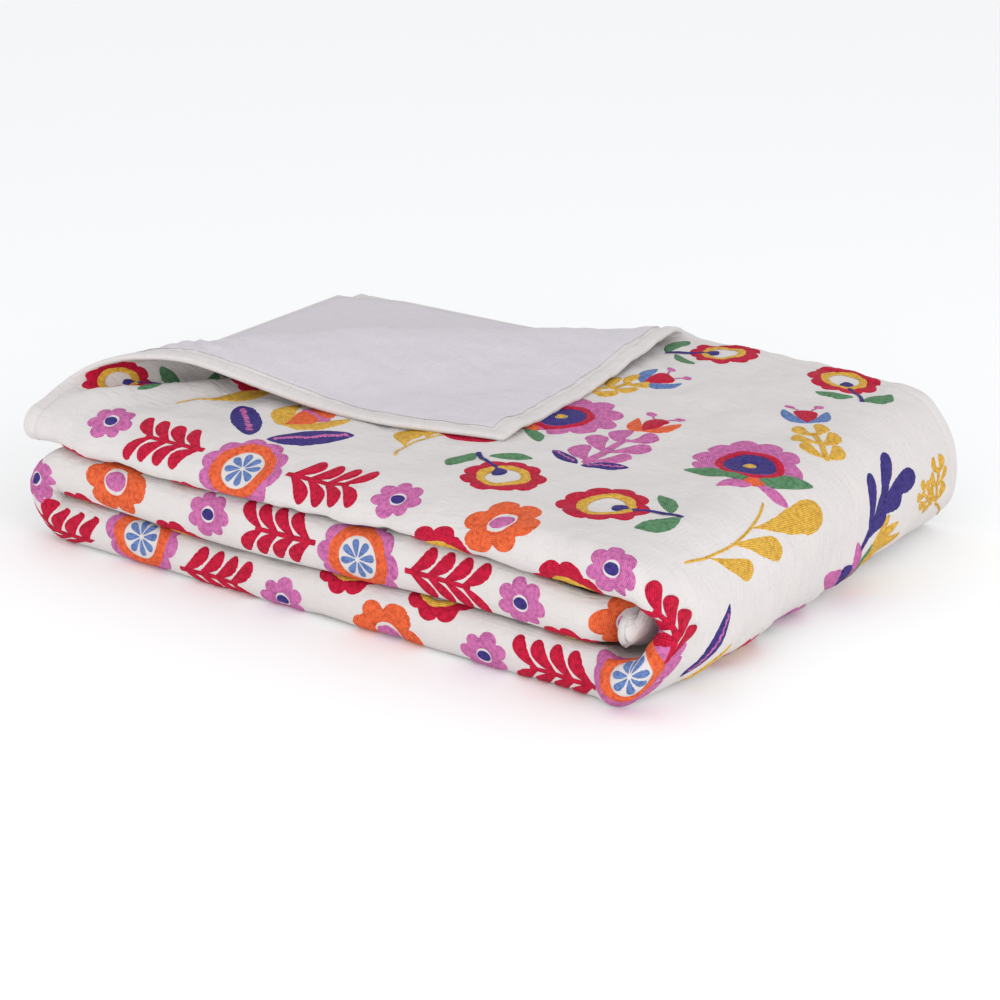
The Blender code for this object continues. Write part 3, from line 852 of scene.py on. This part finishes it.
# %% Rings
def ring(inner, outer, lobes=0, lobe_depth=0.12, centre=(0.0, 0.0), squash=1.0, turn=0.0,
         sector=(0.0, 360.0)):
    """A ring, or a sector of one in degrees, whose outer radius swells |cos(lobes a / 2)|^0.6.

    By hand no two lobes come out alike: slow waves round the ring make some longer and some broader."""
    steps = max(28, 12*lobes)
    angle = np.radians(np.linspace(*sector, steps + 1))
    uneven = np.sin(2.0*angle + 40.0*outer) + np.sin(3.0*angle + 90.0*outer)
    swell = np.abs(np.cos(lobes*(angle - turn)/2 + 0.16*uneven))**0.6 if lobes else np.ones_like(angle)
    far = outer*(1.0 - lobe_depth*(1.0 - swell) + (0.03*uneven if lobes else 0.0))
    across = np.linspace(-1.0, 1.0, 6 if outer - inner < 0.012 else 9)
    radius = (far + inner)[:, None]/2 + (far - inner)[:, None]/2*across
    flat = np.array((centre[0] + radius*np.cos(angle)[:, None],
                     centre[1] + squash*radius*np.sin(angle)[:, None]))
    rows_of_stitches = np.array((angle[:, None]*(inner + outer)/2 + 0.0*radius, radius))
    return flat, np.broadcast_to(dome(across), radius.shape), rows_of_stitches


# %% Stems and veins
def stem(points, breadth, rows=22, taper=0.0):
    """A strip along a curve through the points, a cubic at most, thinner towards its end by taper."""
    points = np.array(points, dtype=float)
    distance = np.concatenate(([0.0], np.cumsum(np.hypot(*np.diff(points, axis=0).T))))
    share = np.linspace(0.0, 1.0, rows)
    powers = np.polyfit(distance/distance[-1], points, min(len(points) - 1, 3))[::-1]
    curve = sum(factor[:, None]*share**power for power, factor in enumerate(powers))
    half = breadth/2*(1.0 - taper*share)
    side = left_of(np.gradient(curve, axis=1))
    flat, across, rows_of_stitches = strip(curve, side, half, distance[-1]*share, 4)
    ends = np.ones(rows)
    ends[[0, -1]] = 0.0
    return flat, (dome(across)*0.5 + 0.5)*ends[:, None], rows_of_stitches


def vein(start, end, swing, teeth):
    """Short pink strips along a zigzag that swings to either side of the line from start to end."""
    start, run = np.array(start), np.subtract(end, start)
    swings = left_of(run)*swing
    points = [start + run*share + (swings if number % 2 else -swings)
              for number, share in enumerate(np.linspace(0.0, 1.0, 2*teeth + 1))]
    return [("pink over", stem(pair, VEIN, rows=3)) for pair in zip(points, points[1:])]


# %% [markdown]
# ## The motifs
# These are the ordinary flowers of folk embroidery: small round flowers, a medallion, sprigs, tulips, a
# peony and drop-shaped leaves. Each is a list of shapes with their threads, drawn in metres with its
# middle or foot at zero.


# %% The border's motifs
def scaled(size, shapes):
    """Shapes that were drawn at size 1, at the given size."""
    return [(thread, (flat*size, height, rows*size)) for thread, (flat, height, rows) in shapes]


def small_flower(petals, eye, size, lobes=7, eye_share=0.28, sector=(0.0, 360.0)):
    """A round flower with lobes, a narrow bare ring and an eye."""
    half = eye_share*size
    return [(petals, ring(half + 0.02*size, size, lobes, 0.31, sector=sector)),
            (eye, disc((0, 0), half, 1.7*half))]


def medallion(size, lean=None):
    """A scalloped flower in two colours with a star in its bare middle; the outer one may lean to a side."""
    shapes = [("pink", ring(0.68*size, size, 10, 0.16)),
              ("orange over", ring(0.47*size, 0.76*size, 9, 0.07, squash=1.03))]
    if lean:
        shapes.append(("pink", ring(0.78*size, 1.12*size, 10, 0.16, lean)))
    away = [np.array((math.cos(angle), math.sin(angle))) for angle in np.radians(np.arange(12, 360, 45))]
    return shapes + scaled(size, [("blue", petal(0.05*ray, 0.42*ray, 0.19, kind="paddle", rows=9, columns=5))
                                  for ray in away])


def sprig(thread, length, pairs=4):
    """Pairs of paddle leaves that curl back from the stem's foot, which is at (length, 0)."""
    step = length/(pairs + 0.8)
    shapes = [(thread, stem([(step, 0), (length, 0)], 0.0036, taper=-0.3))]
    return shapes + scaled(step, [
        (thread, petal((joint, 0), (joint - 1.35, side*1.33), 0.84, side*0.20, "paddle", rows=16))
        for joint in np.arange(pairs) + 1.55 for side in (1, -1)])


def veined_leaf(length, breadth, teeth=6):
    """A dark leaf from (0, 0) with a zigzag vein in a second thread."""
    return [("navy", leaf((0, 0), (length, 0), breadth, rows=16, columns=9)),
            *vein((0.12*length, 0.0), (0.88*length, 0.0), 0.11*breadth, teeth)]


# %% The large motifs
def tulip(cup, heart, size, dots=True):
    """A tulip that opens upwards from (0, 0): two outer petals, a heart and two dots on stalks."""
    shapes = [(heart, petal((0, 0.04), (0, 0.84), 0.62, kind="paddle")),
              *((cup, leaf((0, 0), (side*0.52, 0.80), 0.36, -side*0.13)) for side in (-1, 1))]
    for side in (-1, 1) if dots else ():
        dot = (side*0.34, 1.06)
        shapes += [("pink", disc(dot, 0.12, 0.22, rows=9)),
                   ("pink", stem([(side*0.10, 0.78), dot], STALK/size, rows=4))]
    return scaled(size, shapes)


def heart_flower(size, side=1):
    """A scalloped flower with a bare heart, where its drop-shaped stem starts. Its end leaf is on `side`."""
    return [("red", ring(0.54*size, size, 9, 0.16)),
            ("mustard over", ring(0.40*size, 0.65*size, 8, 0.07, (0.05*size, 0.0))),
            *scaled(size, [("navy over", petal((1.05, 0), (0.18, 0), 0.34, 0.03)),
                           ("navy over", stem([(0.8, 0), (1.35, 0.05), (1.75, 0)], 0.10, taper=-0.2)),
                           ("green", leaf((1.72, side*0.05), (1.05, side), 0.58, -side*0.08)),
                           ("green", leaf((1.45, -side*0.14), (0.85, -side), 0.42, side*0.06))])]


def peony(size, low="pink"):
    """A large round flower over its foot at (0, -0.84 size), with two leaves and two lower petals."""
    foot = np.array((0.0, -0.84))
    shapes = [("mustard over", disc((0, 0), 0.10, 0.20, rows=9)),
              ("orange over", disc(foot + (0, 0.1), 0.20, 0.34))]
    for side in (-1, 1):
        shapes += [("green over", leaf(foot, foot + (side*1.16, 0.60), 0.40, side*0.12, rows=18)),
                   (low, leaf(foot, foot + (side*0.68, -0.20), 0.34, side*0.05))]
    return [("pink", ring(0.40*size, size, 10, 0.22, (0.0, 0.2*size), turn=0.3)),
            ("red over", ring(0.44*size, 0.63*size)), ("navy over", ring(0.12*size, 0.49*size)),
            *scaled(size, shapes)]


def lobes_on(thread, length, stalk, lobes):
    """A stem from (0, 0) upwards, and its lobes: each has its foot, its head, its breadth and its bend."""
    return scaled(length, [(thread, stalk)] + [(thread, petal(foot, head, breadth, bend, "paddle", rows=14))
                                               for foot, head, breadth, bend in lobes])


def lobed_sprig(thread, length):
    """Three pairs of rounded lobes that open upwards."""
    pairs = ((0.08, 0.27, 0.40), (0.38, 0.29, 0.72), (0.66, 0.17, 1.0))
    return lobes_on(thread, length, stem([(0, 0), (0, 0.80)], 0.09, taper=0.1, rows=8),
                    [((0, foot), (side*reach, height), 0.24, -side*0.05)
                     for foot, reach, height in pairs for side in (1, -1)])


def branch(thread, length):
    """A bare stem that ends in five uneven lobes."""
    return lobes_on(thread, length, stem([(0, 0), (0, 0.75)], 0.045, taper=-1.2, rows=10),
                    (((0, 0.50), (-0.05, 1.00), 0.18, 0), ((0, 0.50), (0.35, 1.05), 0.21, 0),
                     ((0, 0.22), (-0.24, 0.66), 0.15, 0), ((0, 0.36), (0.25, 0.78), 0.21, 0),
                     ((0, 0.16), (0.16, 0.52), 0.16, 0)))


def drops(feet_and_heads, stem_points):
    """Mustard drop leaves on a thin stem: each has its foot, its head, its breadth and its bend."""
    return [("mustard", stem(stem_points, 0.0022, rows=26)),
            *(("mustard", petal(foot, head, breadth, bend, rows=20, columns=9))
              for foot, head, breadth, bend in feet_and_heads)]


print("a peony has", len(peony(1.0)), "shapes, and a heart flower", len(heart_flower(1.0)))

# %% [markdown]
# ## Where the motifs go
# A border runs the whole length of the cloth, where the strip is folded: it is what the three rolls show.
# The upper part of the cloth carries larger flowers. Places are (along, across) in metres of flat cloth,
# and a turn of 0 points a motif's top towards the back hem. Many of the places that show were first worked
# out by separate measuring programs, then rounded and adjusted. The places that are hidden are guessed.

# %% Stitching a motif on
piles = {}


def stitch(motif, along, across, turn=0.0):
    """Turn and move a motif's shapes on the flat cloth, and pile them up by thread."""
    cosine, sine = math.cos(math.radians(turn)), math.sin(math.radians(turn))
    for thread, ((x, y), height, rows_of_stitches) in motif:
        name, _, over = thread.partition(" ")
        places, normals = on_cloth(*flat_place(along, across, x*cosine - y*sine, -x*sine - y*cosine))
        places = places + normals*((OVER if over else 0.0) + THREAD_HEIGHT*height - SUNK)
        piles.setdefault(name, []).append((places, rows_of_stitches))


def count_shapes():
    print("shapes so far:", ", ".join(f"{len(pile)} {thread}" for thread, pile in piles.items()))


# %% The border
# Points of its middle as (along, across); several come from the same measuring programs
BORDER_WAVE = ((0.0, 0.430), (0.08, 0.430), (0.104, 0.437), (0.22, 0.440), (0.34, 0.432), (0.467, 0.437),
               (0.57, 0.452), (0.66, 0.459), (0.80, 0.452), (0.905, 0.447), (1.005, 0.450), (1.15, 0.463),
               (1.22, 0.450), (1.3, 0.453), (1.36, 0.449), (1.45, 0.453), (1.6, 0.457), (1.7, 0.457),
               (2.4, 0.450))


def on_border(motif, *places, turn=0.0):
    """Stitch a motif on the border's middle, which wavers, as the strip is not folded quite straight."""
    for along in places:
        stitch(motif, along, float(np.interp(along, *zip(*BORDER_WAVE))), turn)


on_border(small_flower("pink", "navy", 0.0210),
          0.077, 0.369, 0.569, 0.809, 1.002, 1.270, 1.450, 1.748, 1.930, 2.180)
on_border(small_flower("orange", "pink", 0.0320, 6, 0.33), 0.467, 0.900, 1.351, 2.056)
on_border(small_flower("orange", "pink", 0.0320, 6, 0.33, (78.0, 282.0)), 1.816)    # half in a crease
on_border(medallion(0.038), 0.223, 1.148, 1.599, 2.300)
on_border(medallion(0.038, (0.001, 0.0055)), 0.664)
for place, turn in ((0.104, 2), (0.340, 183), (0.785, 180), (1.030, 0), (1.260, 180), (1.482, 0),
                    (1.720, 180), (1.957, 0), (2.158, 180)):
    on_border(sprig("red", 0.077), place, turn=turn)
stitch(sprig("red over", 0.074)[:-1], 0.594, 0.457, 11)
for place, across, size in ((0.054, 0.489, 0.032), (0.170, 0.491, 0.032), (0.420, 0.477, 0.033),
                            (0.532, 0.482, 0.037), (0.858, 0.484, 0.032), (0.945, 0.487, 0.032),
                            (1.308, 0.489, 0.032), (1.411, 0.486, 0.032), (1.784, 0.488, 0.032)):
    stitch(heart_flower(size)[:2], place, across)           # half lost in the creases
stitch([("navy", leaf((-0.018, 0), (0.014, 0.001), 0.010)),
        ("green", leaf((0.016, 0), (0.040, -0.002), 0.009))], 0.340, 0.468)
count_shapes()

# %% The flowers on the left
stitch([("navy", disc((0.036, 0), 0.036, 0.026, rows=20, columns=9)),
        *vein((0.008, 0), (0.064, 0), 0.0050, 6)], 0.201, 0.403, 137)
stitch([("navy", leaf((0, 0), (0.070, 0), 0.033, rows=18, columns=9)),
        *vein((0.006, 0), (0.064, 0), 0.0050, 9)], 0.217, 0.404, 42)
stitch(tulip("mustard", "orange", 0.058, dots=False) + vein((-0.014, 0.038), (0.020, 0.030), 0.004, 4),
       0.206, 0.371, -10)
stitch(drops([((0.006, 0.001), (0.080, 0), 0.020, -0.004)], ((-0.004, 0), (0.030, -0.002))),
       0.104, 0.378, 60)
stitch(drops([((0, 0), (-0.018, 0.037), 0.026, 0.004), ((0.003, 0.024), (-0.002, 0.048), 0.016, 0.003)],
             ((0.006, -0.022), (0, 0), (0.002, 0.018), (0.008, 0.040))), 0.318, 0.356)
stitch([("red", leaf((0, 0), (0.052, 0.009), 0.013))], 0.318, 0.315)
stitch(heart_flower(0.028), 0.030, 0.373, 33)
stitch(heart_flower(0.028), 0.126, 0.300, 188)
count_shapes()

# %% The flowers in the middle
for along, across, turn, size, side in ((0.418, 0.366, 144, 0.034, 1), (0.512, 0.371, 11, 0.035, -1),
                                        (0.412, 0.026, 209, 0.030, -1), (0.523, 0.022, -46, 0.032, 1)):
    stitch(heart_flower(size, side), along, across, turn)
stitch(peony(0.044), 0.557, 0.237, 36)
stitch([shape for shape in peony(0.044, "green") if shape[0] != "green over"], 0.379, 0.229, -18)
stitch(lobed_sprig("pink", 0.084), 0.450, 0.306, 0)
stitch(tulip("orange", "red", 0.038), 0.451, 0.222, 4)
stitch(veined_leaf(0.032, 0.014, 4), 0.446, 0.308, 160)
stitch(veined_leaf(0.038, 0.014, 5), 0.449, 0.308, 22)
stitch(lobed_sprig("mustard", 0.056), 0.363, 0.169, -28)
stitch(lobed_sprig("mustard", 0.060), 0.587, 0.177, 46)
stitch(tulip("blue", "red", 0.035), 0.391, 0.127, -25)
stitch(tulip("blue", "red", 0.035), 0.549, 0.131, 33)
count_shapes()

# %% The flowers on the right
stitch(drops([((0.003, -0.026), (0.020, 0.066), 0.026, -0.002),
              ((0.004, -0.056), (0.029, 0.001), 0.019, -0.001),
              ((0.005, -0.088), (0.032, -0.041), 0.016, -0.001)],
             ((-0.009, 0.012), (0.001, -0.013), (0.006, -0.046), (0.006, -0.080), (0.0, -0.115))),
       0.594, 0.290)
stitch(branch("navy", 0.095), 0.652, 0.172, 40)
stitch([("mustard", stem([(0.022, 0.025), (0.006, 0.010), (0, 0)], 0.0026))], 0.652, 0.036)
stitch(lobed_sprig("mustard", 0.042), 0.653, 0.034, 90)
stitch(lobed_sprig("mustard", 0.038), 0.652, 0.040, 142)
stitch(veined_leaf(0.066, 0.016, 9), 0.671, 0.404, 149)
stitch([("mustard", leaf((0, 0), (0.046, 0), 0.010))], 0.678, 0.396, 135)
stitch([("pink", leaf((0.010, -0.004), (-0.030, -0.006), 0.020)),
        ("pink", leaf((0.010, -0.008), (-0.014, -0.054), 0.022)),
        ("navy over", petal((0.008, -0.018), (-0.014, -0.020), 0.022, kind="disc")),
        ("orange", leaf((0.006, -0.030), (0.004, 0.026), 0.018)),
        ("green over", leaf((0.004, -0.012), (-0.018, 0.022), 0.006)),
        *(("mustard", leaf((0.004, 0.010), head, 0.015))
          for head in ((-0.034, 0.050), (-0.026, 0.062), (-0.013, 0.070)))], 0.664, 0.168)
count_shapes()

# %% The same flowers come round again on the left turn
for motif, along, across, turn in ((heart_flower(0.033), 1.250, 0.360, 150),
                                   (tulip("orange", "red", 0.038), 1.262, 0.290, 0),
                                   (peony(0.040), 1.262, 0.210, 20),
                                   (tulip("blue", "red", 0.035), 1.274, 0.120, -20),
                                   (lobed_sprig("mustard", 0.050), 1.268, 0.158, 0),
                                   (heart_flower(0.030, -1), 1.262, 0.036, 190)):
    stitch(motif, along, across, turn)
stitch(small_flower("pink", "navy", 0.022), 0.684, 0.238)
stitch(heart_flower(0.036), 0.690, 0.322, 70)
count_shapes()


# %% One piece for each thread
def joined(name, pile):
    """All shapes of one thread in one mesh; its UV map holds metres along and across the stitch rows."""
    points, faces, flats, count = [], [], [], 0
    for places, rows_of_stitches in pile:
        rows, columns = places.shape[1:]
        points.append(places.reshape(3, -1).T)
        flats.append(rows_of_stitches.reshape(2, -1).T)
        faces.append(grid_faces(rows, columns, count))
        count += rows*columns
    return mesh_object(name, np.concatenate(points), np.concatenate(faces), np.concatenate(flats))


embroidery = {}
for thread, pile in piles.items():
    piece = joined(f"embroidery_{thread}", pile)
    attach(piece, "root")
    embroidery[thread] = piece
    print(piece.name, 2*len(piece.data.polygons), "triangles")

# %% [markdown]
# ## Finishes
# Washed cotton is matt. Its threads are uneven, so the weave shows as fine slubs, and washing leaves
# small crinkles between the quilting stitches. Both are too fine for the mesh, so they are bumps, on the
# flat cloth's own map.


# %% The cotton cloths
# Scales of the noise per metre of cloth, and how much finer it is one way than the other
CLOUD_SCALE, SLUB_SCALE, CRINKLE_SCALE = 9.0, 60.0, 38.0
SLUB_STRETCH, CRINKLE_STRETCH = 12.0, 2.2
FINE_BUMP = 0.0006              # height of the slubs, and of the stitches' own relief


def cotton(name, colour, shade, crinkle):
    """Two tones mixed by cloudy noise and slubs, with slubs in both directions and crinkles as bumps."""
    finish = Finish(name, Roughness=0.92, Sheen_Weight=0.15, Specular_IOR_Level=0.2)
    place = finish.node("ShaderNodeUVMap", {"uv_map": "flat"})
    cloud = finish.noise(place, CLOUD_SCALE, 3.0)
    slub_along = finish.noise(place, SLUB_SCALE, 2.0, (1.0, SLUB_STRETCH, 1.0))
    slub_across = finish.noise(place, SLUB_SCALE, 2.0, (SLUB_STRETCH, 1.0, 1.0))
    slubs = slub_along + slub_across
    crinkles = finish.noise(place, CRINKLE_SCALE, 3.0, (1.0, CRINKLE_STRETCH, 1.0))
    creases = (crinkles - 0.5).distance_from_zero()
    finish.feed("Base Color", finish.mix(cloud*0.6 + slubs*0.2, (*colour, 1.0), (*shade, 1.0)))
    finish.feed("Normal", finish.bump(creases, crinkle, finish.bump(slubs, FINE_BUMP)))
    return finish.material


# %% The threads
STITCH_ROW, STITCH_LINK = 0.0016, 0.0026        # from one row to the next, and from one link to the next
TONE_SCALE, TONE_SPREAD = 320.0, 2.8            # of the noise that shades a thread
GROOVE_PAINTED_SHADE, TONE_START = 0.7, 0.55            # how much painted shade the grooves between the ridges get, and what is taken off


def thread_finish(name, colour, shade):
    """Rows of chain stitches: |sin| ridges across and links along, with painted shade in the grooves between
    them, in a tone that changes with the place.
    """
    finish = Finish(name, Roughness=0.6, Specular_IOR_Level=0.1)
    place = finish.node("ShaderNodeUVMap", {"uv_map": "flat"})
    along = finish.node("ShaderNodeSeparateXYZ", None, {"Vector": place})
    across = along.beside("Y")
    rows = (across*(math.pi/STITCH_ROW)).sine().distance_from_zero()
    links = (along*(math.pi/STITCH_LINK) + across*(0.5*math.pi/STITCH_ROW)).sine().distance_from_zero()
    stitches = rows.power(0.6)*0.7 + links.power(0.7)*0.3
    tone = finish.noise(finish.node("ShaderNodeTexCoord", output="Object"), TONE_SCALE)
    # painted shade: where the ridges are low, between rows and links, the colour is mixed towards the darker
    # one
    factor = tone*TONE_SPREAD + stitches*-GROOVE_PAINTED_SHADE - TONE_START
    finish.feed("Base Color", finish.mix(factor, (*colour, 1.0), (*shade, 1.0)))
    finish.feed("Normal", finish.bump(stitches, FINE_BUMP))
    return finish.material


# each thread: its colour, and a darker one for its random tone and for the painted shade in its grooves
THREADS = {"red": ((0.54, 0.009, 0.044), (0.28, 0.004, 0.020)),
           "pink": ((0.57, 0.156, 0.38), (0.33, 0.075, 0.22)),
           "orange": ((0.76, 0.132, 0.044), (0.48, 0.063, 0.020)),
           "blue": ((0.135, 0.22, 0.47), (0.07, 0.12, 0.29)),
           "navy": ((0.050, 0.035, 0.21), (0.024, 0.017, 0.105)),
           "green": ((0.105, 0.25, 0.125), (0.050, 0.13, 0.060)),
           "mustard": ((0.69, 0.41, 0.062), (0.44, 0.23, 0.030))}
for thread, (colour, shade) in THREADS.items():
    embroidery[thread].data.materials.append(thread_finish(f"{thread} thread", colour, shade))

padded_cloth.data.materials.append(cotton("cream cotton", (0.615, 0.585, 0.580), (0.57, 0.535, 0.52), 0.0030))
grey_cotton = cotton("grey cotton", (0.575, 0.540, 0.580), (0.54, 0.505, 0.545), 0.0018)
for piece in (corner_lining, second_lining):
    piece.data.materials.append(grey_cotton)
print("materials:", len(bpy.data.materials))
